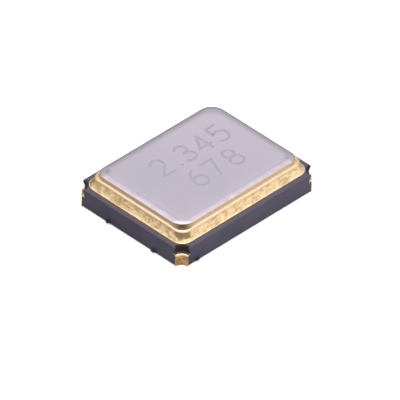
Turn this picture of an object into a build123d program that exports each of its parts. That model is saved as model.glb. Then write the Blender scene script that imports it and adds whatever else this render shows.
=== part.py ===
from build123d import *
import os
from math import sqrt

# A seam-welded surface-mount quartz crystal in millimetres, +Z up. The origin is the middle of
# the footprint, on the face that the terminals put on the board.

# Outline of the ceramic
length = 3.20  # along X
width = 2.50  # along Y

# Fired alumina base. A floor layer and a frame layer are fired together into one body.
floor_thickness = 0.20
frame_thickness = 0.16
wall_width = 0.45  # of the frame, from its outside face to the cavity
cavity_radius = 0.20
floor_notch_radius = 0.165  # quarter-round notches at the corners of the floor layer
frame_notch_radius = 0.21  # wider notches above them, which leave a ledge

# Terminals: pads on the underside that line the notches up to the ledge
plating = 0.02
terminal_length = 0.95
terminal_width = 0.75
terminal_pullback = 0.06  # from the outside faces
index_chamfer = 0.22  # on the inner corner of the pad of terminal 1

# Conductors printed between the layers and on the cavity floor
print_thickness = 0.012
lead_width = 0.16
via_radius = 0.05
via_margin = 0.03  # from a via to the end of the lead under it
via_distance = 0.36  # from the corner of the ceramic, on its diagonal
floor_run_gap = 0.10  # from the long run on the floor to the cavity wall
floor_run_width = 0.10

# Weld frame: metal land, braze and seal ring
land_thickness = 0.012
land_inset = 0.095
land_radius = 0.22
land_inner_gap = 0.01  # from the land to the edge of the cavity
braze_thickness = 0.015
braze_step = 0.01  # from the edge of the land to the foot of the braze
braze_climb = 0.14  # height of the outer fillet on the ring
braze_lip = 0.004  # what is left of the fillet at its top
braze_inner_gap = 0.01  # from the edge of the land to the braze, inside
ring_thickness = 0.173
ring_inset = 0.17
ring_radius = 0.19
ring_inner_gap = 0.02  # from the edge of the land to the ring, inside
ring_edge_round = 0.03

# Lid, with a rim that the weld rollers pressed to a slope
lid_thickness = 0.08
lid_inset = 0.22
lid_radius = 0.27
lid_rim_drop = 0.025
lid_rim_width = 0.08
lid_flat_radius = 0.20

# Quartz blank, an AT cut for 8 MHz, bevelled towards both ends
blank_thickness = 0.208
blank_gap = 0.10  # to the cavity wall, all round
bevel_length = 0.30
bevel_depth = 0.04
blank_edge_round = 0.02

# Silver film electrodes and their tabs
film_thickness = 0.004
electrode_gap = 0.15  # to the bevels
electrode_side_gap = 0.22  # to the long edges of the blank
electrode_radius = 0.12
tab_width = 0.24

# Pads, adhesive and rest bump on the cavity floor
mount_pad_thickness = 0.015
mount_pad_length = 0.38
mount_pad_width = 0.38
mount_pad_end_gap = 0.03  # to the cavity wall at the mounted end
mount_pad_side_gap = 0.14  # to the cavity wall at the side
lead_overlap = 0.063  # of a lead under its mount pad, along X and along Y
adhesive_thickness = 0.03  # between pad and blank
adhesive_margin = 0.02  # from the edge of the pad
adhesive_lap = 0.032  # height over the end of the blank
adhesive_round = 0.05  # corners, seen from above
adhesive_edge_round = 0.025  # upper edge
bump_height = 0.02
bump_width = 0.15
bump_radius = 0.05
bump_end_gap = 0.22  # to the free end of the blank
bump_side_gap = 0.20  # to the long run on the floor

# Levels, upwards
floor_bottom = plating
floor_top = floor_bottom + floor_thickness
frame_top = floor_top + frame_thickness
land_top = frame_top + land_thickness
ring_bottom = land_top + braze_thickness
ring_top = ring_bottom + ring_thickness
print_top = floor_top + print_thickness
mount_pad_top = print_top + mount_pad_thickness
blank_bottom = mount_pad_top + adhesive_thickness
blank_top = blank_bottom + blank_thickness

# Plan sizes
cavity_length = length - 2 * wall_width
cavity_width = width - 2 * wall_width
blank_length = cavity_length - 2 * blank_gap
blank_width = cavity_width - 2 * blank_gap
land_inner_inset = wall_width - land_inner_gap
braze_inner_inset = land_inner_inset - braze_inner_gap
ring_inner_inset = land_inner_inset - ring_inner_gap
lead_end = via_distance + via_radius + via_margin
lead_reach = sqrt(2) * (wall_width + mount_pad_side_gap + lead_overlap)
floor_run_y = cavity_width / 2 - floor_run_gap - floor_run_width / 2
mount_pad_x = -(cavity_length / 2 - mount_pad_end_gap - mount_pad_length / 2)
mount_pad_y = cavity_width / 2 - mount_pad_side_gap - mount_pad_width / 2

# Corners in the order of the terminals, from which side of X and of Y they are on. Terminals 1
# and 3 carry the crystal, 2 and 4 are joined to the lid.
corners = {1: (-1, -1), 2: (1, -1), 3: (1, 1), 4: (-1, 1)}
mount_sides = {1: -1, 2: 1}  # the two mount pads, at -Y and +Y
lead_angles = {1: 45, 2: 135, 3: -135, 4: -45}  # from each corner towards the middle


def corner_point(number):
    side_x, side_y = corners[number]
    return side_x * length / 2, side_y * width / 2


def draw_frame(outer_inset, outer_radius, inner_inset, inner_radius):
    RectangleRounded(length - 2 * outer_inset, width - 2 * outer_inset, outer_radius)
    RectangleRounded(
        length - 2 * inner_inset, width - 2 * inner_inset, inner_radius, mode=Mode.SUBTRACT
    )


def on_diagonal(number, distance):
    # A point on a corner's diagonal, with its X axis towards the middle
    return Location((*corner_point(number), 0), lead_angles[number]) * Location((distance, 0, 0))


def draw_lead(number, start, end):
    with Locations(on_diagonal(number, start)):
        Rectangle(end - start, lead_width, align=(Align.MIN, Align.CENTER))


def draw_via(number):
    with Locations(on_diagonal(number, via_distance)):
        Circle(via_radius)


def draw_mount_pad(number, margin=0):
    with Locations((mount_pad_x, mount_sides[number] * mount_pad_y)):
        Rectangle(mount_pad_length - 2 * margin, mount_pad_width - 2 * margin)


def write(part, name):
    part.label = name
    export_step(part, f"parts/{name}.step")


os.makedirs("parts", exist_ok=True)

# Ceramic base: floor, frame and cavity, with room between the layers for leads and vias
with BuildPart() as ceramic_base:
    with BuildSketch(Plane.XY.offset(floor_bottom)):
        Rectangle(length, width)
        with GridLocations(length, width, 2, 2):
            Circle(floor_notch_radius, mode=Mode.SUBTRACT)
    extrude(amount=floor_thickness)
    with BuildSketch(Plane.XY.offset(floor_top)):
        Rectangle(length, width)
        with GridLocations(length, width, 2, 2):
            Circle(frame_notch_radius, mode=Mode.SUBTRACT)
        RectangleRounded(cavity_length, cavity_width, cavity_radius, mode=Mode.SUBTRACT)
    extrude(amount=frame_thickness)
    with BuildSketch(Plane.XY.offset(floor_top)):
        for number in (1, 3):
            draw_lead(number, 0, lead_reach)
        for number in (2, 4):
            draw_lead(number, 0, lead_end)
    extrude(amount=print_thickness, mode=Mode.SUBTRACT)
    with BuildSketch(Plane.XY.offset(print_top)):
        for number in (2, 4):
            draw_via(number)
    extrude(amount=frame_top - print_top, mode=Mode.SUBTRACT)
write(ceramic_base.part, "ceramic_base")

# Terminals: each one is a pad, the lining of its notch, the ledge and a lead under the frame
for number, (side_x, side_y) in corners.items():
    with BuildPart() as terminal:
        pad_x = length / 2 - terminal_pullback - terminal_length / 2
        pad_y = width / 2 - terminal_pullback - terminal_width / 2
        with BuildSketch() as pad_outline:
            with Locations((side_x * pad_x, side_y * pad_y)):
                Rectangle(terminal_length, terminal_width)
            if number == 1:
                inner_corner = pad_outline.vertices().sort_by_distance((0, 0, 0))[0]
                chamfer(inner_corner, index_chamfer)
            with Locations(corner_point(number)):
                Circle(floor_notch_radius, mode=Mode.SUBTRACT)
        extrude(amount=plating)
        with BuildSketch():
            with Locations(corner_point(number)):
                Circle(floor_notch_radius)
                Circle(floor_notch_radius - plating, mode=Mode.SUBTRACT)
            Rectangle(length, width, mode=Mode.INTERSECT)
        extrude(amount=print_top)
        with BuildSketch(Plane.XY.offset(floor_top)):
            with Locations(corner_point(number)):
                Circle(frame_notch_radius)
            draw_lead(number, 0, lead_end)
            with Locations(corner_point(number)):
                Circle(floor_notch_radius - plating, mode=Mode.SUBTRACT)
            Rectangle(length, width, mode=Mode.INTERSECT)
        extrude(amount=print_thickness)
    write(terminal.part, f"terminal_{number}")

# Vias: they join the land of the seal ring to the leads of terminals 2 and 4
for via_number, corner_number in enumerate((2, 4), start=1):
    with BuildPart() as ground_via:
        with BuildSketch(Plane.XY.offset(print_top)):
            draw_via(corner_number)
        extrude(amount=frame_top - print_top)
    write(ground_via.part, f"ground_via_{via_number}")

# Conductors on the cavity floor, from the leads of terminals 1 and 3 to the mount pads
with BuildPart() as floor_conductor_1:
    with BuildSketch(Plane.XY.offset(floor_top)):
        draw_lead(1, lead_end, lead_reach)
        draw_mount_pad(1)
    extrude(amount=print_thickness)
write(floor_conductor_1.part, "floor_conductor_1")

with BuildPart() as floor_conductor_2:
    with BuildSketch(Plane.XY.offset(floor_top)):
        draw_lead(3, lead_end, lead_reach)
        draw_mount_pad(2)
        run_end = cavity_length / 2 - floor_run_gap
        with Locations((mount_pad_x, floor_run_y)):
            Rectangle(run_end - mount_pad_x, floor_run_width, align=(Align.MIN, Align.CENTER))
    extrude(amount=print_thickness)
write(floor_conductor_2.part, "floor_conductor_2")

# Mount pads: a second print that lifts the blank off the floor
for number in mount_sides:
    with BuildPart() as mount_pad:
        with BuildSketch(Plane.XY.offset(print_top)):
            draw_mount_pad(number)
        extrude(amount=mount_pad_thickness)
    write(mount_pad.part, f"mount_pad_{number}")

# Rest bump: it stops the free end of the blank when the part is dropped
with BuildPart() as rest_bump:
    bump_length = 2 * (floor_run_y - floor_run_width / 2 - bump_side_gap)
    with BuildSketch(Plane.XY.offset(floor_top)):
        with Locations((blank_length / 2 - bump_end_gap - bump_width / 2, 0)):
            RectangleRounded(bump_width, bump_length, bump_radius)
    extrude(amount=bump_height)
write(rest_bump.part, "rest_bump")

# Quartz blank: a plate that thins towards both ends
with BuildPart() as quartz_blank:
    with BuildSketch(Plane.XZ):
        with BuildLine():
            half = blank_length / 2
            flat = half - bevel_length
            Polyline(
                (-half, blank_bottom + bevel_depth),
                (-flat, blank_bottom),
                (flat, blank_bottom),
                (half, blank_bottom + bevel_depth),
                (half, blank_top - bevel_depth),
                (flat, blank_top),
                (-flat, blank_top),
                (-half, blank_top - bevel_depth),
                close=True,
            )
        make_face()
    extrude(amount=blank_width / 2, both=True)
    fillet(quartz_blank.edges().filter_by(Axis.Z), blank_edge_round)
write(quartz_blank.part, "quartz_blank")

# Electrodes: films that follow the faces of the blank, with a tab to one corner of its mounted end
electrode_length = blank_length - 2 * (bevel_length + electrode_gap)
electrode_width = blank_width - 2 * electrode_side_gap
electrodes = {}
for name, rise, tab_side in (("electrode_upper", 1, -1), ("electrode_lower", -1, 1)):
    with BuildPart() as electrode:
        add(quartz_blank.part.moved(Location((0, 0, rise * film_thickness))))
        add(quartz_blank.part, mode=Mode.SUBTRACT)
        with BuildSketch():
            RectangleRounded(electrode_length, electrode_width, electrode_radius)
            with Locations((0, tab_side * mount_pad_y)):
                Rectangle(blank_length / 2, tab_width, align=(Align.MAX, Align.CENTER))
        extrude(amount=blank_top + film_thickness, mode=Mode.INTERSECT)
    electrodes[name] = electrode.part
    write(electrode.part, name)

# Adhesive: a silver-filled dot on each mount pad, up round the end of the blank
for number in mount_sides:
    with BuildPart() as adhesive_dot:
        with BuildSketch(Plane.XY.offset(mount_pad_top)):
            draw_mount_pad(number, margin=adhesive_margin)
        extrude(amount=blank_top - bevel_depth + adhesive_lap - mount_pad_top)
        fillet(adhesive_dot.edges().filter_by(Axis.Z), adhesive_round)
        fillet(adhesive_dot.faces().sort_by(Axis.Z)[-1].edges(), adhesive_edge_round)
        add(quartz_blank.part, mode=Mode.SUBTRACT)
        for film in electrodes.values():
            add(film, mode=Mode.SUBTRACT)
    write(adhesive_dot.part, f"adhesive_dot_{number}")

# Land: the metallised strip on the frame that the ring is brazed to
with BuildPart() as ring_land:
    with BuildSketch(Plane.XY.offset(frame_top)):
        draw_frame(land_inset, land_radius, land_inner_inset, cavity_radius)
    extrude(amount=land_thickness)
write(ring_land.part, "ring_land")

# Seal ring, stamped, with its upper outer edge rounded
with BuildPart() as seal_ring:
    with BuildSketch(Plane.XY.offset(ring_bottom)):
        draw_frame(ring_inset, ring_radius, ring_inner_inset, cavity_radius)
    extrude(amount=ring_thickness)
    fillet(seal_ring.faces().sort_by(Axis.Z)[-1].outer_wire().edges(), ring_edge_round)
write(seal_ring.part, "seal_ring")

# Braze: a thin layer under the ring, with a fillet that climbs its outside
with BuildPart() as ring_braze:
    braze_inset = land_inset + braze_step
    lip_inset = ring_inset - braze_lip
    with BuildSketch(Plane.XY.offset(land_top)):
        RectangleRounded(
            length - 2 * braze_inset, width - 2 * braze_inset, land_radius - braze_step
        )
    with BuildSketch(Plane.XY.offset(land_top + braze_climb)):
        RectangleRounded(
            length - 2 * lip_inset, width - 2 * lip_inset, ring_radius + braze_lip
        )
    loft()
    with BuildSketch(Plane.XY.offset(ring_bottom)):
        RectangleRounded(length - 2 * ring_inset, width - 2 * ring_inset, ring_radius)
    extrude(amount=ring_thickness, mode=Mode.SUBTRACT)
    with BuildSketch(Plane.XY.offset(land_top)):
        RectangleRounded(
            length - 2 * braze_inner_inset, width - 2 * braze_inner_inset, cavity_radius
        )
    extrude(amount=braze_climb, mode=Mode.SUBTRACT)
write(ring_braze.part, "ring_braze")

# Lid: a flat plate whose rim slopes down to the weld
with BuildPart() as lid:
    lid_length = length - 2 * lid_inset
    lid_width = width - 2 * lid_inset
    with BuildSketch(Plane.XY.offset(ring_top)):
        RectangleRounded(lid_length, lid_width, lid_radius)
    extrude(amount=lid_thickness - lid_rim_drop)
    with BuildSketch(Plane.XY.offset(ring_top + lid_thickness - lid_rim_drop)):
        RectangleRounded(lid_length, lid_width, lid_radius)
    with BuildSketch(Plane.XY.offset(ring_top + lid_thickness)):
        RectangleRounded(
            lid_length - 2 * lid_rim_width, lid_width - 2 * lid_rim_width, lid_flat_radius
        )
    loft()
write(lid.part, "lid")
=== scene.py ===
from math import asin, cos, pi, radians, sin
import bpy
from mathutils import Matrix, Vector, noise


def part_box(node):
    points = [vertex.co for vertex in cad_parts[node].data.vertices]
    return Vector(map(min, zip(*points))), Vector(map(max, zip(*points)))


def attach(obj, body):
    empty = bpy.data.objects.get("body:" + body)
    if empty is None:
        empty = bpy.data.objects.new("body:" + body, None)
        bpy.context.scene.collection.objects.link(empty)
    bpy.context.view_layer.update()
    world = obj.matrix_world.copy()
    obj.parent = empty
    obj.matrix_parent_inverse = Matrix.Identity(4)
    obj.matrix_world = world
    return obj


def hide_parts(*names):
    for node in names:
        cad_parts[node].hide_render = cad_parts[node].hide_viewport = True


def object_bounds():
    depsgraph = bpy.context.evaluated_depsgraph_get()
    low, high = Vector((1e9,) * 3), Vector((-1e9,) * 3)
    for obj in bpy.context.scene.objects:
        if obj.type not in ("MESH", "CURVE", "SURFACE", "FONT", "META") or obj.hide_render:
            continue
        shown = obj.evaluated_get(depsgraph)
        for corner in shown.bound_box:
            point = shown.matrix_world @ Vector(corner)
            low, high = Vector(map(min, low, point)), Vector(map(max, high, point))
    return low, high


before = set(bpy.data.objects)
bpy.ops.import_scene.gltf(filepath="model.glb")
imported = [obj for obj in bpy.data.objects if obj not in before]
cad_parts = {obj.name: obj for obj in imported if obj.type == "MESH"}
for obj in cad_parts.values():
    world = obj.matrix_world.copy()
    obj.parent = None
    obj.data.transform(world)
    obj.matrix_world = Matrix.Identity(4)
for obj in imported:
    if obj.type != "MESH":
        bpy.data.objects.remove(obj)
cadLow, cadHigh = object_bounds()
mm = 0.001

camera = {
    "azimuth": -46.0, "elevation": 38.2, "roll": 1.6,  # degrees
    "lens": 1000,
    "seenWidth": 6.624,  # mm across the picture, at the part
    "aside": 0.049, "below": 0.34,  # mm from the middle of the part to the middle of the picture
}


def placeCamera():
    azimuth, elevation = radians(camera["azimuth"]), radians(camera["elevation"])
    level = cos(elevation)
    back = Vector((sin(azimuth) * level, -cos(azimuth) * level, sin(elevation)))
    roll = Matrix.Rotation(radians(camera["roll"]), 3, "Z")
    turn = (-back).to_track_quat("-Z", "Y").to_matrix() @ roll
    right, up = turn.col[0], turn.col[1]
    aim = (cadLow + cadHigh) / 2 + (right * camera["aside"] - up * camera["below"]) * mm
    data = bpy.data.cameras.new("camera")
    data.lens = camera["lens"]
    distance = camera["seenWidth"] * mm * data.lens / data.sensor_width
    data.clip_start, data.clip_end = distance * 0.1, distance * 10
    made = bpy.data.objects.new("camera", data)
    bpy.context.collection.objects.link(made)
    made.matrix_world = Matrix.Translation(aim + back * distance) @ turn.to_4x4()
    bpy.context.scene.camera = made


placeCamera()
print("camera placed")


def boxOf(node):  # in mm
    low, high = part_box(node)
    return Vector(low) / mm, Vector(high) / mm


baseLow, baseHigh = boxOf("ceramic_base")
halfX, halfY = baseHigh.x, baseHigh.y


# shader maths written as Python

class Wire:
    def __init__(self, graph, socket):
        self.graph, self.socket = graph, socket

    def __add__(self, other):
        return self.graph.math("ADD", self, other)

    def __sub__(self, other):
        return self.graph.math("SUBTRACT", self, other)

    def __rsub__(self, other):
        return self.graph.math("SUBTRACT", other, self)

    def __mul__(self, other):
        return self.graph.math("MULTIPLY", self, other)

    __radd__, __rmul__ = __add__, __mul__

    def ramp(self, low, high):  # smoothly 0 at low, 1 at high
        return self.graph.node("ShaderNodeMapRange", {"interpolation_type": "SMOOTHSTEP"},
                               {"Value": self, "From Min": low, "From Max": high})


class Graph:
    def __init__(self, owner):
        owner.use_nodes = True
        self.tree = owner.node_tree
        self.tree.nodes.clear()

    def node(self, kind, settings=None, inputs=None, output=0):
        made = self.tree.nodes.new(kind)
        for key, value in (settings or {}).items():
            if key == "stops":
                ramp = made.color_ramp
                while len(ramp.elements) < len(value):
                    ramp.elements.new(0.5)
                for element, (place, shade) in zip(ramp.elements, value):
                    element.position, element.color = place, (*shade, 1)
            else:
                setattr(made, key, value)
        for key, value in (inputs or {}).items():
            if isinstance(value, Wire):
                self.tree.links.new(value.socket, made.inputs[key])
            else:
                made.inputs[key].default_value = value
        return Wire(self, made.outputs[output]) if made.outputs else made

    def math(self, operation, first, second):
        return self.node("ShaderNodeMath", {"operation": operation}, {0: first, 1: second})

    def place(self):
        return self.node("ShaderNodeTexCoord", output=3)

    def axes(self):  # how far a point is along X, Y and Z, in mm
        split = self.node("ShaderNodeSeparateXYZ", {}, {"Vector": self.place()}).socket.node
        return [Wire(self, out) * (1 / mm) for out in split.outputs]

    def fromEdge(self, x, y, halfX, halfY, radius):
        # how far a point is inside the edge of a rounded rectangle, in mm
        u = self.math("ABSOLUTE", x, 0) - (halfX - radius)
        v = self.math("ABSOLUTE", y, 0) - (halfY - radius)
        outU, outV = self.math("MAXIMUM", u, 0), self.math("MAXIMUM", v, 0)
        out = self.math("SQRT", outU * outU + outV * outV, 0)
        return radius - out - self.math("MINIMUM", self.math("MAXIMUM", u, v), 0)

    def nearCorner(self, x, y, halfX, halfY, reach):
        # 1 at the corners of a rectangle, 0 from reach mm along both of its sides
        ends = [self.math("ABSOLUTE", c, 0).ramp(half - reach, half - reach * 0.25)
                for c, half in ((x, halfX), (y, halfY))]
        return ends[0] * ends[1]

    def noise(self, perMm, detail=3, roughness=0.5, stretch=(1, 1, 1)):
        where = self.node("ShaderNodeMapping", {}, {"Vector": self.place(), "Scale": stretch})
        return self.node("ShaderNodeTexNoise", {}, {
            "Vector": where, "Scale": perMm / mm, "Detail": detail, "Roughness": roughness})

    def blend(self, factor, first, second):
        first, second = [(*c, 1) if isinstance(c, tuple) else c for c in (first, second)]
        return self.node("ShaderNodeMix", {"data_type": "RGBA"}, {0: factor, 6: first, 7: second},
                         output=2)

    def bump(self, height, depth):  # depth in mm
        return self.node("ShaderNodeBump", {}, {"Height": height, "Distance": depth * mm})

    def surface(self, **sockets):
        named = {key.replace("_", " "): value for key, value in sockets.items()}
        shader = self.node("ShaderNodeBsdfPrincipled", {}, named)
        self.node("ShaderNodeOutputMaterial", {}, {"Surface": shader})


def newFinish(name):
    material = bpy.data.materials.new(name)
    return material, Graph(material)


nickel = {
    "pale": (0.571, 0.512, 0.597), "deep": (0.542, 0.498, 0.583),
    "back": (0.612, 0.549, 0.640), "backSheenRange": (-0.8, 2.0),  # painted sheen, the lid brighter towards +X +Y
    "rim": (0.510, 0.420, 0.410), "rimRange": (0.015, 0.07),  # painted warm reflection of the gold ring, mm in from the edge
    # painted shade on the rim along the back
    "backRim": (0.440, 0.400, 0.460), "backRimWidth": 0.19,
    "line": (0.50, 0.455, 0.54), "lineCorner": 0.5,  # painted shade line round the flat, and weak along the back
    "sideCornerPatch": (0.33, 0.31, 0.35), "sideCornerPatchInset": 0.10, "sideCornerPatchReach": 0.17,
    # painted shade at the corners of the rim, with some heat tint
    "corner": (0.43, 0.375, 0.405), "cornerReach": 0.22,
    "weld": (0.68, 0.50, 0.36), "weldCorner": (0.10, 0.065, 0.04),  # painted shade, brown, in the groove along the weld, darkest at a corner
    "weldReach": 0.30, "weldRange": (0.034, 0.016),  # mm below the top of the lid
    "roughness": 0.25, "grain": 0.0006,
}
frontShadeAndBurn = {"front": 1.0, "elsewhere": 0.35}  # painted shade and dark reflection, with some heat tint, strongest at the corner at -X -Y


def flatDepth(g, x, y, high):
    # how far a point is inside the flat of the lid, whose corners differ
    right, back = g.math("GREATER_THAN", x, 0), g.math("GREATER_THAN", y, 0)
    farCorner, nearCorner = right * back, (1 - right) * (1 - back)
    far, side, near = lid["flatRadii"][:3]
    radius = farCorner * (far - side) + nearCorner * (near - side) + side
    return g.fromEdge(x, y, high.x - lid["rimWidth"], high.y - lid["rimWidth"], radius)


def frontCorner(g, x, y, halfX, halfY, reach):
    # 1 at the corner at -X -Y and less at the others
    front = g.math("LESS_THAN", x, 0) * g.math("LESS_THAN", y, 0)
    more = frontShadeAndBurn["front"] - frontShadeAndBurn["elsewhere"]
    return g.nearCorner(x, y, halfX, halfY, reach) * (front * more + frontShadeAndBurn["elsewhere"])


# painted shade, brown, in the groove between lid and ring, darkest at the corners
def weldTint(g, x, y):
    high = boxOf("lid")[1]
    darkened = frontCorner(g, x, y, high.x, high.y, nickel["weldReach"])
    return g.blend(darkened, nickel["weld"], nickel["weldCorner"])


def nickelFinish():
    # matt nickel with a fine grain and faint clouds, a painted warm reflection at the rim and
    # painted groove shade, brown, down its side
    material, g = newFinish("nickelLid")
    cloud = g.noise(1.3, detail=2)
    grain = g.noise(60, detail=4, roughness=0.65)
    patches = g.noise(8, detail=3)
    x, y, z = g.axes()
    high = boxOf("lid")[1]
    inward = g.fromEdge(x, y, high.x, high.y, lid["edgeRadius"])
    flat = flatDepth(g, x, y, high)
    behind = (x * (1 / high.x) + y * (1 / high.y)).ramp(0.0, 0.25)  # 1 at the sides at +X and +Y

    colour = g.blend(cloud.ramp(0.35, 0.65), nickel["deep"], nickel["pale"])
    # painted sheen: the lid lighter towards +X +Y
    colour = g.blend((x + y).ramp(*nickel["backSheenRange"]), colour, nickel["back"])

    # painted warm reflection on the rim, and painted shade that darkens the rim along the back
    colour = g.blend(1 - inward.ramp(*nickel["rimRange"]), colour, nickel["rim"])
    backRim = behind * (1 - inward.ramp(0.0, nickel["backRimWidth"]))
    colour = g.blend(backRim, colour, nickel["backRim"])

    # a thin painted shade line round the edge of the flat
    plainBack = behind * (1 - g.nearCorner(x, y, high.x, high.y, nickel["lineCorner"]))
    line = flat.ramp(-0.045, -0.01) * (1 - flat.ramp(0.0, 0.04)) * (1 - plainBack * 0.8)
    colour = g.blend(line * 0.9, colour, nickel["line"])

    # darker patches near the edge of the flat, at the corners at -X +Y and +X -Y
    inset, reach = nickel["sideCornerPatchInset"], nickel["sideCornerPatchReach"]
    corners = g.nearCorner(x, y, high.x - inset, high.y - inset, reach)
    sideCorners = g.math("LESS_THAN", x * y, 0) * corners
    sideCornerPatch = sideCorners * flat.ramp(-0.08, -0.03) * (1 - flat.ramp(0.0, 0.07))
    colour = g.blend(sideCornerPatch * patches.ramp(0.3, 0.6) * 0.8, colour, nickel["sideCornerPatch"])

    # painted shade at the corners of the rim, with some heat tint, most at -X -Y, and painted
    # groove shade, brown, down the side to the weld
    darkened = frontCorner(g, x, y, high.x, high.y, nickel["cornerReach"])
    colour = g.blend(darkened * (1 - flat.ramp(-0.08, -0.03)), colour, nickel["corner"])
    sideFoot, sideTop = (high.z - below for below in nickel["weldRange"])
    side = 1 - (z + patches * 0.012).ramp(sideFoot, sideTop)
    colour = g.blend(side, colour, weldTint(g, x, y))

    g.surface(Base_Color=colour, Metallic=1.0,
              Roughness=grain * 0.1 + side * 0.15 + nickel["roughness"],
              Normal=g.bump(grain, nickel["grain"]))
    return material


laser = {"darkened": (0.375, 0.345, 0.410), "burnedPale": (0.470, 0.432, 0.500),
         "roughness": 0.38, "grain": 0.001}


def laserFinish():
    # nickel that the marking laser has burned a little darker
    material, g = newFinish("laserMark")
    speckle = g.noise(30, detail=3, roughness=0.6)
    colour = g.blend(speckle.ramp(0.3, 0.7), laser["darkened"], laser["burnedPale"])
    g.surface(Base_Color=colour, Metallic=1.0, Roughness=speckle * 0.2 + laser["roughness"],
              Normal=g.bump(speckle, laser["grain"]))
    return material


gold = {
    # pale and deep tints, patches per mm, depth of the grain in mm, least roughness
    "goldRing": ((0.89, 0.67, 0.44), (0.82, 0.60, 0.37), 10, 0.001, 0.23),
    "goldBraze": ((0.96, 0.73, 0.44), (0.66, 0.45, 0.22), 14, 0.006, 0.24),
    "goldLand": ((0.98, 0.81, 0.56), (0.90, 0.71, 0.46), 12, 0.002, 0.25),
    "goldPlate": ((0.86, 0.58, 0.27), (0.48, 0.27, 0.09), 12, 0.005, 0.30),
}
goldTint = {
    "blush": (0.98, 0.62, 0.50), "blushShare": 0.2,
    "ledge": (0.98, 0.80, 0.62), "ledgeHighlightRange": (0.185, 0.208),  # painted highlight, mm above the table
    "scorchAndDarkReflection": (0.17, 0.095, 0.035), "scorchAndDarkReflectionReach": 0.34,  # brown, painted dark reflection with some heat scorch, high on the braze below the front corner of the lid
    "weldRange": (0.012, 0.030), "weldSpread": 0.044,  # painted groove shade on the ring, mm out from the lid, and more at a corner
}


def goldFinish(name):
    # gold over nickel: large drifts of tone, grains inside them and pits that scatter the light
    pale, deep, perMm, depth, roughness = gold[name]
    material, g = newFinish(name)
    drift = g.noise(perMm * 0.3, detail=2)
    grains = g.noise(perMm, detail=4, roughness=0.65, stretch=(1, 1, 1.7))
    pits = g.noise(perMm * 2.7, detail=4, roughness=0.7)
    mottle = (grains * 0.6 + drift * 0.4).ramp(0.42, 0.57)
    colour = g.blend(mottle, deep, pale)
    blush = g.noise(perMm * 0.5, detail=3, roughness=0.6)
    colour = g.blend(blush.ramp(0.48, 0.64) * goldTint["blushShare"], colour, goldTint["blush"])
    x, y, z = g.axes()
    if name == "goldRing":
        high = boxOf("lid")[1]
        # painted groove shade on the ring beside the lid
        outside = g.fromEdge(x, y, high.x, high.y, lid["edgeRadius"]) * -1
        corner = frontCorner(g, x, y, high.x, high.y, nickel["weldReach"])
        away = outside + drift * 0.01 - corner * goldTint["weldSpread"]
        colour = g.blend(1 - away.ramp(*goldTint["weldRange"]), colour, weldTint(g, x, y))
    if name == "goldBraze":
        # painted dark reflection, brown, with some heat scorch, near the top of the braze at the
        # corners, most at -X -Y
        low, high = boxOf("ring_braze")
        darkened = frontCorner(g, x, y, high.x, high.y, goldTint["scorchAndDarkReflectionReach"])
        darkened = (darkened * (z - grains * 0.10).ramp(low.z - 0.03, high.z - 0.09)).ramp(0.05, 0.6)
        colour = g.blend(darkened * (1 - blush * 0.35), colour, goldTint["scorchAndDarkReflection"])
    if name == "goldPlate":
        # painted highlight on the top of the lining and on the ledge
        colour = g.blend(z.ramp(*goldTint["ledgeHighlightRange"]), colour, goldTint["ledge"])
    g.surface(Base_Color=colour, Metallic=1.0, Roughness=pits * 0.25 + roughness,
              Normal=g.bump(grains * 0.6 + pits * 0.4, depth))
    return material


ceramic = {
    "pale": (0.056, 0.046, 0.078), "deep": (0.043, 0.037, 0.066),
    "top": (0.062, 0.047, 0.070),  # painted warm light from the gold, on the top face
    "topRange": (0.012, 0.002),  # mm below the top
    # the near-black colour paints shade inside the corner notches, and also colours the dark crumbs
    "nearBlack": (0.009, 0.003, 0.005), "notchShadeReach": 0.25, "notchShadeFade": 0.03,
    "crumb": (0.010, 0.009, 0.016),
    "grain": 0.0015, "crumbGrain": 0.004,
}


def ceramicFinish():
    # fired alumina, dark purple-grey, with painted shade, brown-black, inside the corner notches
    material, g = newFinish("darkCeramic")
    cloud = g.noise(2.5, detail=3)
    grain = g.noise(45, detail=5, roughness=0.7)
    x, y, z = g.axes()
    alongX, alongY = halfX - g.math("ABSOLUTE", x, 0), halfY - g.math("ABSOLUTE", y, 0)
    fromCorner = g.math("SQRT", alongX * alongX + alongY * alongY, 0)
    reach = ceramic["notchShadeReach"]
    nearBlack = 1 - (fromCorner + cloud * 0.04).ramp(reach - ceramic["notchShadeFade"], reach)
    # painted notch shade, less on the rounded rims of a notch
    nearBlack = nearBlack * g.math("MINIMUM", alongX, alongY).ramp(0.0, 0.045)
    colour = g.blend(cloud.ramp(0.35, 0.65), ceramic["deep"], ceramic["pale"])
    topFoot, topFull = (baseHigh.z - below for below in ceramic["topRange"])
    # painted warm light from the gold on the top face and its edge
    colour = g.blend(z.ramp(topFoot, topFull), colour, ceramic["top"])
    # painted shade inside the corner notches
    colour = g.blend(nearBlack, colour, ceramic["nearBlack"])
    g.surface(Base_Color=colour, Roughness=grain * 0.2 + nearBlack * 0.45 + 0.35,
              Normal=g.bump(grain, ceramic["grain"]))
    return material


def crumbFinish():
    # the same ceramic, nearly black
    material, g = newFinish("darkCrumb")
    grain = g.noise(40, detail=4, roughness=0.7)
    g.surface(Base_Color=g.blend(grain.ramp(0.3, 0.7), ceramic["crumb"], ceramic["nearBlack"]),
              Roughness=grain * 0.3 + 0.5, Normal=g.bump(grain, ceramic["crumbGrain"]))
    return material


# meshes as stacks of loops round the package, in mm

cornerSigns = ((1, 1), (-1, 1), (-1, -1), (1, -1))  # counter-clockwise from +X +Y
steps = {"corner": 24, "long": 200, "short": 150}


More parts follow.
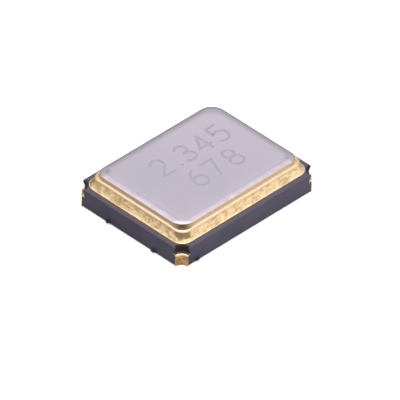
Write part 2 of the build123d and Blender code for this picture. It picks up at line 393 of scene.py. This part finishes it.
def joinArcs(arcs, height):
    # straight runs between the four corner arcs, the long side at +Y first
    points = []
    for turn, arc in enumerate(arcs):
        points += arc
        start, end = arc[-1], arcs[(turn + 1) % 4][0]
        count = steps["short" if turn % 2 else "long"]
        points += [tuple(a + (b - a) * k / count for a, b in zip(start, end))
                   for k in range(1, count)]
    return [(x, y, height) for x, y in points]


def arcPoints(centre, radius, first, last, count):
    angles = [first + (last - first) * k / count for k in range(count + 1)]
    return [(centre[0] + radius * cos(a), centre[1] + radius * sin(a)) for a in angles]


def roundedLoop(halfX, halfY, radii, height):
    arcs = []
    for turn, (signX, signY) in enumerate(cornerSigns):
        centre = signX * (halfX - radii[turn]), signY * (halfY - radii[turn])
        first = turn * pi / 2
        arcs.append(arcPoints(centre, radii[turn], first, first + pi / 2, steps["corner"]))
    return joinArcs(arcs, height)


def notchedLoop(halfX, halfY, radius, inset, height):
    # a rectangle moved inwards by inset, with quarter-round notches of that radius at its corners
    arcs = []
    lean = asin(inset / radius)
    for turn, (signX, signY) in enumerate(cornerSigns):
        first, last = 1.5 * pi - lean + turn * pi / 2, pi + lean + turn * pi / 2
        corner = signX * halfX, signY * halfY
        arcs.append(arcPoints(corner, radius, first, last, steps["corner"]))
    return joinArcs(arcs, height)


def meshPiece(name, points, faces, finish, smoothAngle=35):
    mesh = bpy.data.meshes.new(name)
    mesh.from_pydata([tuple(c * mm for c in p) for p in points], [], faces)
    mesh.validate()
    piece = bpy.data.objects.new(name, mesh)
    bpy.context.collection.objects.link(piece)
    return dress(piece, finish, smoothAngle)


def dress(piece, finish, smoothAngle=35):
    piece.data.shade_smooth()
    piece.data.set_sharp_from_angle(angle=radians(smoothAngle))
    piece.data.materials.clear()
    piece.data.materials.append(finish)
    return piece


def skin(name, loops, finish, closed=False):
    # closed joins the last loop to the first, otherwise both ends are capped
    count = len(loops[0])
    points = [p for loop in loops for p in loop]
    faces = []
    for row in range(len(loops) - (not closed)):
        below, above = row * count, (row + 1) % len(loops) * count
        for k in range(count):
            after = (k + 1) % count
            faces.append((below + k, below + after, above + after, above + k))
    if not closed:
        faces.append(tuple(reversed(range(count))))
        faces.append(tuple(range(len(points) - count, len(points))))
    return meshPiece(name, points, faces, finish)


def prism(name, outline, low, high, finish):
    # an outline pulled straight up
    loops = [[(x, y, z) for x, y in outline] for z in (low, high)]
    return skin(name, loops, finish)


def combine(piece, others, operation):
    for other in others:
        step = piece.modifiers.new("combine", "BOOLEAN")
        step.operation, step.solver, step.object = operation, "EXACT", other
    view = bpy.context.evaluated_depsgraph_get()
    shaped = bpy.data.meshes.new_from_object(piece.evaluated_get(view))
    piece.modifiers.clear()
    piece.data = shaped
    for other in others:
        bpy.data.objects.remove(other)


def settle(piece, slot, *nodes):
    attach(piece, "root")
    if nodes:
        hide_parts(*nodes)
    return piece


def roughen(loop, depth, perMm, seed):
    # moves points outwards and up by a smooth random amount, the same in each run
    moved = []
    for x, y, z in loop:
        out = depth * noise.noise(Vector((x, y, z)) * perMm + Vector((seed, 0, 0)))
        rise = depth * noise.noise(Vector((x, y, z)) * perMm + Vector((0, seed, 0)))
        reach = max(abs(x), abs(y))
        moved.append((x * (1 + out / reach), y * (1 + out / reach), z + rise))
    return moved


base = {
    # radius of the corner notches, inset of the sides, height above the foot of the ceramic
    "outside": [(0.20, 0.030, 0.0), (0.172, 0.006, 0.0), (0.167, 0.002, 0.002),
                (0.165, 0.0, 0.006), (0.165, 0.0, 0.20), (0.222, 0.0, 0.20), (0.207, 0.0, 0.25),
                (0.189, 0.0, 0.30), (0.177, 0.0, 0.335), (0.179, 0.0, 0.348),
                (0.187, 0.001, 0.354), (0.201, 0.004, 0.358), (0.225, 0.010, 0.360),
                (0.250, 0.030, 0.360)],
    "floorNotch": 0.165, "frameNotch": 0.21,
    "floor": 0.20, "floorBorder": 0.1,
    "wall": 0.45, "cavityRadius": 0.20,
    "leadWidth": 0.16, "leadDepth": 0.012,
    # in from the corner: start, end of a short lead, end of one that reaches the cavity
    "leadStart": 0.1, "leadEnd": 0.44, "leadReach": 0.924,
    "viaRadius": 0.05, "viaDistance": 0.36,
    "leadOvercut": 0.001, "viaOvercut": 0.01,  # how far a cut runs past the face it opens
}


def onDiagonal(turn, distance, side=0.0):
    # a point on a corner's diagonal, so far in from the corner and so far to its side
    signX, signY = cornerSigns[turn]
    step = 1 / 2 ** 0.5
    return (signX * (halfX - distance * step) - signY * side * step,
            signY * (halfY - distance * step) + signX * side * step)


def leadStrip(turn, start, end, low, high):
    side = base["leadWidth"] / 2
    outline = [onDiagonal(turn, start, -side), onDiagonal(turn, start, side),
               onDiagonal(turn, end, side), onDiagonal(turn, end, -side)]
    return prism("strip", outline, low, high, finishes["darkCeramic"])


def makeBase():
    ledge, top = baseLow.z + base["floor"], baseHigh.z
    cavity = halfX - base["wall"], halfY - base["wall"]
    loops = [notchedLoop(halfX, halfY, radius, inset, baseLow.z + height)
             for radius, inset, height in base["outside"]]
    loops += [roundedLoop(*cavity, [base["cavityRadius"]] * 4, height) for height in (top, ledge)]
    border = base["floorBorder"]
    loops.append(roundedLoop(cavity[0] - border, cavity[1] - border,
                             [base["cavityRadius"] - border] * 4, ledge))
    piece = skin("ceramicBody", loops, finishes["darkCeramic"])
    depth, cutters = base["leadDepth"], []
    for turn in range(4):
        end = base["leadReach" if turn in (0, 2) else "leadEnd"]
        low = ledge - base["leadOvercut"]
        cutters.append(leadStrip(turn, base["leadStart"], end, low, ledge + depth))
    for turn in (1, 3):
        middle = onDiagonal(turn, base["viaDistance"])
        circle = arcPoints(middle, base["viaRadius"], 0, 2 * pi, 24)[:-1]
        high = top + base["viaOvercut"]
        cutters.append(prism("via", circle, ledge + depth / 2, high, finishes["darkCeramic"]))
    combine(piece, cutters, "DIFFERENCE")
    return settle(dress(piece, finishes["darkCeramic"]), "ceramic", "ceramic_base")


lining = {
    "thickness": 0.02,
    "pullback": 0.005,  # of the plating from the outside faces
    "reach": 0.219,  # of the plating on the ledge
    "padRadius": 0.05,
    "pad": (0.95, 0.75), "padPullback": 0.06,
    "index": 0.22,  # clipped off the first pad
    # rounded edges, out from the lining and up from the lead's top or from the table
    "topEdge": [(0.014, 0.0), (0.006, -0.003), (0.001, -0.010), (0.0, -0.02)],
    "footEdge": [(0.0, 0.006), (0.002, 0.002), (0.006, 0.0)],
    "steps": 24,
}


def padOutline(turn):
    # the rounded pad under a corner, with the notch cut out of it, and clipped on the first one
    signX, signY = cornerSigns[turn]
    length, width = lining["pad"]
    outer, radius = lining["padPullback"], lining["padRadius"]
    notch = base["floorNotch"] - lining["thickness"] / 2
    lean = asin(outer / notch)
    right, far = outer + length, outer + width
    local = arcPoints((0, 0), notch, pi / 2 - lean, lean, 12)
    local += arcPoints((right - radius, outer + radius), radius, -pi / 2, 0, 8)
    if turn == 2:
        local += [(right, far - lining["index"]), (right - lining["index"], far)]
    else:
        local += arcPoints((right - radius, far - radius), radius, 0, pi / 2, 8)
    local += arcPoints((outer + radius, far - radius), radius, pi / 2, pi, 8)
    points = [(signX * (halfX - u), signY * (halfY - v)) for u, v in local]
    return points if signX * signY > 0 else points[::-1]


def makeTerminal(turn, number):
    # plating: the pad, the lining of the notch with the ledge on top, and the lead under the frame
    signX, signY = cornerSigns[turn]
    inner, outer = base["floorNotch"] - lining["thickness"], base["floorNotch"]
    reach, ledge = lining["reach"], baseLow.z + base["floor"]
    top = ledge + base["leadDepth"]
    profile = [(outer, 0.0), (outer, ledge), (reach, ledge), (reach, top)]
    profile += [(inner + out, top + rise) for out, rise in lining["topEdge"]]
    profile += [(inner + out, rise) for out, rise in lining["footEdge"]]
    count = lining["steps"]
    loops = []
    for k in range(count + 1):
        loop = []
        for radius, height in profile:
            lean = lining["pullback"] / radius
            angle = lean + (pi / 2 - 2 * lean) * k / count
            loop.append((signX * (halfX - radius * cos(angle)),
                         signY * (halfY - radius * sin(angle)), height))
        loops.append(loop if signX * signY > 0 else loop[::-1])
    piece = skin(f"terminalPlate{number}", loops, finishes["goldPlate"])
    pad = prism("pad", padOutline(turn), 0.0, baseLow.z, finishes["goldPlate"])
    lead = leadStrip(turn, base["frameNotch"] - 0.02, base["leadEnd"], ledge, top)
    combine(piece, [pad, lead], "UNION")
    return settle(dress(piece, finishes["goldPlate"]), "gold_plate", f"terminal_{number}")


lid = {
    # inset from the lid's edge, height against its top, share of the way to the flat's corners
    "profile": [(0.02, -0.080, 0), (0.0, -0.075, 0), (0.0, -0.037, 0), (0.001, -0.0310, 0),
                (0.005, -0.0262, 0), (0.012, -0.0222, 0), (0.022, -0.0188, 0.1),
                (0.035, -0.0151, 0.25), (0.05, -0.0117, 0.4), (0.07, -0.0083, 0.6),
                (0.09, -0.0056, 0.75), (0.11, -0.0035, 0.9), (0.13, -0.0019, 1),
                (0.16, -0.0006, 1), (0.2, 0.0, 1), (0.3, 0.0, 1), (0.6, 0.0, 1)],
    "edgeRadius": 0.27, "leastRadius": 0.05, "rimWidth": 0.11,
    # corners of the edge and of the flat, in the order of cornerSigns
    "edgeRadii": (0.27, 0.20, 0.27, 0.20), "flatRadii": (0.34, 0.18, 0.10, 0.18),
    "ripple": 0.002, "rippled": (0.002, 0.1), "ripplesPerMm": 6, "seed": 3,
}


def makeLid():
    high = boxOf("lid")[1]
    first, last = lid["rippled"]
    loops = []
    for inset, rise, share in lid["profile"]:
        radii = [max(edge - inset, lid["leastRadius"]) * (1 - share) + flat * share
                 for edge, flat in zip(lid["edgeRadii"], lid["flatRadii"])]
        loop = roundedLoop(high.x - inset, high.y - inset, radii, high.z + rise)
        if first < inset < last:
            loop = roughen(loop, lid["ripple"], lid["ripplesPerMm"], lid["seed"])
        loops.append(loop)
    return settle(skin("lidPlate", loops, finishes["nickelLid"]), "nickel_lid", "lid")


ring = {
    # inset from the ring's edge, height above its foot: the ridge, then the weld up the lid's side
    "outer": [(0.0, 0.0), (0.0, 0.06), (0.0, 0.122), (0.0012, 0.134), (0.004, 0.143),
              (0.009, 0.1495), (0.015, 0.1545), (0.021, 0.158), (0.026, 0.159), (0.030, 0.157),
              (0.034, 0.155), (0.038, 0.157), (0.042, 0.164), (0.0465, 0.181), (0.051, 0.206)],
    "weldInset": 0.034, "weldWidth": 0.017,
    "inset": 0.17, "width": 0.25,
    "radius": 0.19, "innerRadius": 0.20,
    "ripple": 0.003, "rippled": (0.13, 0.2), "ripplesPerMm": 7, "seed": 11,
}


def makeRing():
    low, high = boxOf("seal_ring")
    first, last = ring["rippled"]
    loops = []
    for inset, rise in ring["outer"]:
        # the weld follows the corners of the lid
        share = max(0, inset - ring["weldInset"]) / ring["weldWidth"]
        radii = [(ring["radius"] - inset) * (1 - share) + edge * share for edge in lid["edgeRadii"]]
        loop = roundedLoop(high.x - inset, high.y - inset, radii, low.z + rise)
        depth = ring["ripple"] if first < rise < last else 0
        loops.append(roughen(loop, depth, ring["ripplesPerMm"], ring["seed"]))
    for height in (high.z, low.z):
        loops.append(roundedLoop(high.x - ring["width"], high.y - ring["width"],
                                 [ring["innerRadius"]] * 4, height))
    piece = skin("sealRing", loops, finishes["goldRing"], closed=True)
    return settle(piece, "gold_ring", "seal_ring")


braze = {
    # share of the way from the foot to the ring, share of the climb
    "slope": [(0.0, 0.0), (0.05, 0.02), (0.14, 0.065), (0.24, 0.14), (0.33, 0.225), (0.42, 0.315),
              (0.51, 0.41), (0.60, 0.505), (0.69, 0.60), (0.78, 0.70), (0.87, 0.80), (0.95, 0.90),
              (1.0, 1.0)],
    "footRadius": 0.21, "innerInset": 0.43, "innerRadius": 0.2,
    "lumps": 0.005, "lumpFade": 0.3, "lumpsPerMm": 16, "seed": 19,
}


def makeBraze():
    low, high = boxOf("ring_braze")
    footX, footY, climb = high.x, high.y, high.z - low.z
    ringX = halfX - ring["inset"]
    loops = []
    for across, up in braze["slope"]:
        inset = across * (footX - ringX)
        radius = braze["footRadius"] + (ring["radius"] - braze["footRadius"]) * across
        loop = roundedLoop(footX - inset, footY - inset, [radius] * 4, low.z + up * climb)
        depth = braze["lumps"] * (1 - across) ** braze["lumpFade"] if up else 0
        loops.append(roughen(loop, depth, braze["lumpsPerMm"], braze["seed"]))
    seat = boxOf("seal_ring")[0].z
    outer, inner = (ring["inset"], ring["radius"]), (braze["innerInset"], braze["innerRadius"])
    for (inset, radius), height in ((outer, seat), (inner, seat), (inner, low.z)):
        loops.append(roundedLoop(halfX - inset, halfY - inset, [radius] * 4, height))
    piece = skin("brazeFillet", loops, finishes["goldBraze"], closed=True)
    return settle(piece, "gold_braze", "ring_braze")


land = {
    # inset from the land's edge, share of its thickness
    "edge": [(0.004, 0.0), (0.0, 0.35), (0.001, 0.75), (0.005, 1.0)],
    "radius": 0.22, "innerInset": 0.44, "innerRadius": 0.2,
    "waver": 0.003, "waversPerMm": 8, "seed": 23,
}


def makeLand():
    low, high = boxOf("ring_land")
    loops = []
    for inset, rise in land["edge"]:
        loop = roundedLoop(high.x - inset, high.y - inset, [land["radius"] - inset] * 4,
                           low.z + rise * (high.z - low.z))
        wavy = roughen(loop, land["waver"], land["waversPerMm"], land["seed"])
        loops.append([(x, y, loop[0][2]) for x, y, z in wavy])
    for height in (high.z, low.z):
        loops.append(roundedLoop(halfX - land["innerInset"], halfY - land["innerInset"],
                                 [land["innerRadius"]] * 4, height))
    piece = skin("ringLand", loops, finishes["goldLand"], closed=True)
    return settle(piece, "gold_plate", "ring_land")


burrs = {
    # side of the package, place along it, length along it, how far it stands out, height
    "places": [("-x", -0.60, 0.10, 0.045, 0.05), ("-x", 0.47, 0.10, 0.045, 0.05),
               ("-y", -1.24, 0.09, 0.03, 0.045)],
    "lift": 0.004,  # above the foot of the ceramic
    "swell": 0.5, "swells": 1.9, "tallestSwell": 1.05,
    "rings": 14, "points": 20, "smoothAngle": 60,
}


def makeBurrs():
    # small dark lumps that stand out at the foot of the sides
    ringCount, pointCount = burrs["rings"], burrs["points"]
    points, faces = [], []
    for side, along, length, out, tall in burrs["places"]:
        first = len(points)
        for k in range(ringCount):
            angle = pi * (k + 0.5) / ringCount
            for m in range(pointCount):
                turn = 2 * pi * m / pointCount
                u, v, w = cos(angle), sin(angle) * cos(turn), sin(angle) * sin(turn)
                where = Vector((u, v, w)) * burrs["swells"] + Vector((along * 9, 0, 0))
                swell = 1 + burrs["swell"] * noise.noise(where)
                run, reach = along + u * length / 2 * swell, v * out * swell
                rise = w * tall / 2 * min(swell, burrs["tallestSwell"])
                height = baseLow.z + burrs["lift"] + tall / 2 + rise
                points.append((-halfX - reach, run, height) if side == "-x"
                              else (run, -halfY - reach, height))
        for k in range(ringCount - 1):
            for m in range(pointCount):
                a, b = first + k * pointCount + m, first + k * pointCount + (m + 1) % pointCount
                faces.append((a, b, b + pointCount, a + pointCount))
        faces.append(tuple(first + m for m in range(pointCount))[::-1])
        faces.append(tuple(first + (ringCount - 1) * pointCount + m for m in range(pointCount)))
    piece = meshPiece("footBurrs", points, faces, finishes["darkCrumb"], burrs["smoothAngle"])
    return settle(piece, "ceramic")


marking = {
    # numbers, middle of each along X, foot of the line along Y
    "lines": [("2.345", (-0.51, -0.20, 0.05, 0.45, 0.84), 0.135),
              ("678", (-0.26, 0.12, 0.56), -0.48)],
    "height": 0.42, "width": 0.27, "stroke": 0.052,
    "proud": 0.001, "sunk": 0.003,  # above and below the top of the lid
    "mitre": 0.45,  # a sharp corner is made no wider than this allows
}
scaleUp = 1 / mm  # strokes are joined while they are large, then made small


def curve(cx, cy, rx, ry, first, last, count=20):
    angles = [radians(first + (last - first) * k / count) for k in range(count + 1)]
    return [(cx + rx * cos(a), cy + ry * sin(a)) for a in angles]


def loopOf(cx, cy, rx, ry):
    points = curve(cx, cy, rx, ry, 0, 360, 36)
    return points[:-1] + points[:1]


# single strokes in a box that is 1 wide and 1 high, from its middle foot
strokes = {
    "2": [curve(0, 0.72, 0.46, 0.28, 165, -35) + [(-0.48, 0.0), (0.5, 0.0)]],
    "3": [curve(-0.02, 0.75, 0.42, 0.25, 150, -90), curve(0, 0.26, 0.48, 0.26, 100, -150)],
    "4": [[(0.22, 0.0), (0.22, 1.0)], [(0.22, 1.0), (-0.5, 0.28), (0.5, 0.28)]],
    "5": [[(0.42, 1.0), (-0.36, 1.0), (-0.42, 0.56)] + curve(-0.02, 0.32, 0.5, 0.32, 128, -145)],
    "6": [loopOf(0, 0.30, 0.46, 0.30), curve(0.36, 0.30, 0.82, 0.70, 98, 178, 12)],
    "7": [[(-0.48, 1.0), (0.48, 1.0), (-0.14, 0.0)]],
    "8": [loopOf(0, 0.76, 0.38, 0.24), loopOf(0, 0.27, 0.46, 0.27)],
    ".": [[(0, 0), (0, 0.12)]],
}


def ribbon(path, low, high):
    # a strip of even width along a path, mitred at its corners, joined up if the path is closed
    half = marking["stroke"] / 2
    closed = path[0] == path[-1]
    if closed:
        path = path[:-1]
    points, faces = [], []
    for k, (x, y) in enumerate(path):
        before = path[k - 1] if closed or k else path[0]
        after = path[(k + 1) % len(path)] if closed or k < len(path) - 1 else path[-1]
        inward = Vector((x - before[0], y - before[1]))
        onward = Vector((after[0] - x, after[1] - y))
        inward = (inward if inward.length else onward).normalized()
        onward = (onward if onward.length else inward).normalized()
        across = Vector((-(inward.y + onward.y), inward.x + onward.x)).normalized()
        wide = half / max(abs(across.dot(Vector((-inward.y, inward.x)))), marking["mitre"])
        points += [(x + side * across.x * wide, y + side * across.y * wide, height)
                   for side, height in ((-1, low), (1, low), (1, high), (-1, high))]
    for k in range(len(path) - (not closed)):
        a, b = 4 * k, 4 * ((k + 1) % len(path))
        faces += [(a + m, a + (m + 1) % 4, b + (m + 1) % 4, b + m) for m in range(4)]
    if not closed:
        end = len(points) - 4
        faces += [(3, 2, 1, 0), (end, end + 1, end + 2, end + 3)]
    large = [tuple(c * scaleUp for c in point) for point in points]
    return meshPiece("stroke", large, faces, finishes["laserMark"])


def makeMarking():
    # plain numbers, in the single strokes of a marking laser
    top = boxOf("lid")[1].z
    parts = []
    for text, centres, foot in marking["lines"]:
        for sign, centre in zip(text, centres):
            for path in strokes[sign]:
                placed = [(centre + u * marking["width"], foot + v * marking["height"])
                          for u, v in path]
                parts.append(ribbon(placed, top - marking["sunk"], top + marking["proud"]))
    piece = parts.pop()
    combine(piece, parts, "UNION")
    piece.data.transform(Matrix.Scale(mm, 4))
    piece.name = "laserNumbers"
    return settle(dress(piece, finishes["laserMark"]), "nickel_lid")


finishes = {name: goldFinish(name) for name in gold}
finishes["nickelLid"] = nickelFinish()
finishes["laserMark"] = laserFinish()
finishes["darkCeramic"] = ceramicFinish()
finishes["darkCrumb"] = crumbFinish()
print("visible finishes made")

makeBase()
for turn, number in ((2, 1), (3, 2), (0, 3), (1, 4)):  # corner, and the terminal that it holds
    makeTerminal(turn, number)
makeLand()
makeBraze()
makeRing()
makeLid()
makeBurrs()
makeMarking()
print("visible pieces made")


# the pieces sealed inside keep their CAD shape

inside = {
    # pale and deep tints, grains per mm, depth of the grain, metallic, roughness
    "goldPrint": ((0.86, 0.65, 0.34), (0.70, 0.50, 0.24), 24, 0.002, 1.0, 0.32),
    "tungsten": ((0.24, 0.24, 0.25), (0.15, 0.15, 0.16), 40, 0.002, 0.7, 0.55),
    "aluminaPrint": ((0.62, 0.60, 0.58), (0.52, 0.50, 0.48), 40, 0.002, 0.0, 0.7),
    "silverFilm": ((0.86, 0.85, 0.83), (0.76, 0.75, 0.72), 30, 0.0004, 1.0, 0.22),
    "silverAdhesive": ((0.62, 0.61, 0.59), (0.46, 0.45, 0.43), 35, 0.004, 0.55, 0.5),
}
insideNodes = {
    "goldPrint": ("floor_conductor_1", "floor_conductor_2", "mount_pad_1", "mount_pad_2"),
    "tungsten": ("ground_via_1", "ground_via_2"),
    "aluminaPrint": ("rest_bump",),
    "silverFilm": ("electrode_upper", "electrode_lower"),
    "silverAdhesive": ("adhesive_dot_1", "adhesive_dot_2"),
    "lappedQuartz": ("quartz_blank",),
}


def insideFinish(name):
    pale, deep, perMm, depth, metallic, roughness = inside[name]
    material, g = newFinish(name)
    grain = g.noise(perMm, detail=4, roughness=0.6)
    g.surface(Base_Color=g.blend(grain.ramp(0.35, 0.65), deep, pale), Metallic=metallic,
              Roughness=grain * 0.2 + roughness - 0.1, Normal=g.bump(grain, depth))
    return material


quartz = {"pale": (0.96, 0.97, 0.97), "deep": (0.90, 0.93, 0.94), "ior": 1.544, "clear": 0.85,
          "lapping": 0.0008}


def quartzFinish():
    material, g = newFinish("lappedQuartz")
    lapping = g.noise(50, detail=5, roughness=0.7)
    g.surface(Base_Color=g.blend(lapping, quartz["deep"], quartz["pale"]),
              Roughness=lapping * 0.2 + 0.1, IOR=quartz["ior"], Transmission_Weight=quartz["clear"],
              Normal=g.bump(lapping, quartz["lapping"]))
    return material


for name in inside:
    finishes[name] = insideFinish(name)
finishes["lappedQuartz"] = quartzFinish()
for name, nodes in insideNodes.items():
    for node in nodes:
        dress(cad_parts[node], finishes[name])
print("inside pieces finished")


# stage and light

stage = {
    "size": 400, "roughness": 0.9,
    "seen": (0.86, 0.86, 0.86), "lift": 0.45,
    # in reflections, from dim at -X +Y to lit at +X -Y
    "dim": (0.35, 0.35, 0.36), "lit": (0.60, 0.60, 0.61), "litRange": (-2.6, 2.4),
}


def makeFloor():
    # white to the camera, and a grey table in reflections and in the light it sends back
    material, g = newFinish("paleFloor")
    seen = g.node("ShaderNodeBsdfPrincipled", {}, {
        "Base Color": (*stage["seen"], 1), "Roughness": stage["roughness"],
        "Specular IOR Level": 0.0,
        "Emission Color": (1, 1, 1, 1), "Emission Strength": stage["lift"]})
    x, y, z = g.axes()
    grey = g.blend((x - y).ramp(*stage["litRange"]), stage["dim"], stage["lit"])
    lit = g.node("ShaderNodeBsdfPrincipled", {}, {
        "Base Color": grey, "Roughness": stage["roughness"], "Specular IOR Level": 0.0})
    toCamera = g.node("ShaderNodeLightPath")
    mixed = g.node("ShaderNodeMixShader", {}, {0: toCamera, 1: lit, 2: seen})
    g.node("ShaderNodeOutputMaterial", {}, {"Surface": mixed})
    half = stage["size"] / 2
    corners = [(-half, -half, 0), (half, -half, 0), (half, half, 0), (-half, half, 0)]
    meshPiece("floor", corners, [(0, 1, 2, 3)], material)


light = {
    # strength of the far side of the world, against the sine of the height above the horizon
    "far": [(0.0, 0.42), (0.26, 0.54), (0.42, 0.67), (0.545, 0.81), (0.616, 0.92), (0.695, 0.84),
            (0.766, 0.82), (1.0, 1.0)],
    "near": 1.05, "farRange": (0.35, 0.9),  # near is what shines from -X -Y and from above
    "left": 1.0, "right": 1.15, "sideRange": (-1.3, 1.3),  # brighter towards +X -Y than -X +Y
    "softbox": {"size": 76, "place": (0, 0, 60), "radiance": 1.5},
    "strip": {"size": 34, "place": (-4, 40, 58), "radiance": 0.15},
}


def areaLamp(name):
    size = light[name]["size"] * mm
    data = bpy.data.lights.new(name, "AREA")
    data.shape, data.size = "DISK", size
    data.energy = light[name]["radiance"] * pi * pi * (size / 2) ** 2
    made = bpy.data.objects.new(name, data)
    bpy.context.collection.objects.link(made)
    made.location = Vector(light[name]["place"]) * mm
    made.rotation_mode = "QUATERNION"
    made.rotation_quaternion = (-made.location).to_track_quat("-Z", "Y")


def makeLight():
    world = bpy.data.worlds.new("studio")
    bpy.context.scene.world = world
    g = Graph(world)
    where = g.node("ShaderNodeTexCoord")
    direction = g.node("ShaderNodeSeparateXYZ", {}, {"Vector": where}).socket.node
    x, y, height = (Wire(g, out) for out in direction.outputs)
    stops = [(place, (value,) * 3) for place, value in light["far"]]
    far = g.node("ShaderNodeValToRGB", {"stops": stops}, {"Fac": height})
    near = (light["near"],) * 3
    sky = g.blend((x + y).ramp(*light["farRange"]), near, far)
    side = (x - y).ramp(*light["sideRange"]) * (light["right"] - light["left"]) + light["left"]
    plain = g.node("ShaderNodeBackground", {}, {"Color": sky, "Strength": side})
    white = g.node("ShaderNodeBackground", {}, {"Color": (1, 1, 1, 1), "Strength": 1.0})
    toCamera = g.node("ShaderNodeLightPath")
    mixed = g.node("ShaderNodeMixShader", {}, {0: toCamera, 1: plain, 2: white})
    g.node("ShaderNodeOutputWorld", {}, {"Surface": mixed})
    areaLamp("softbox")
    areaLamp("strip")
    bpy.context.scene.view_settings.view_transform = "Standard"


makeFloor()
makeLight()
print("stage and light made")
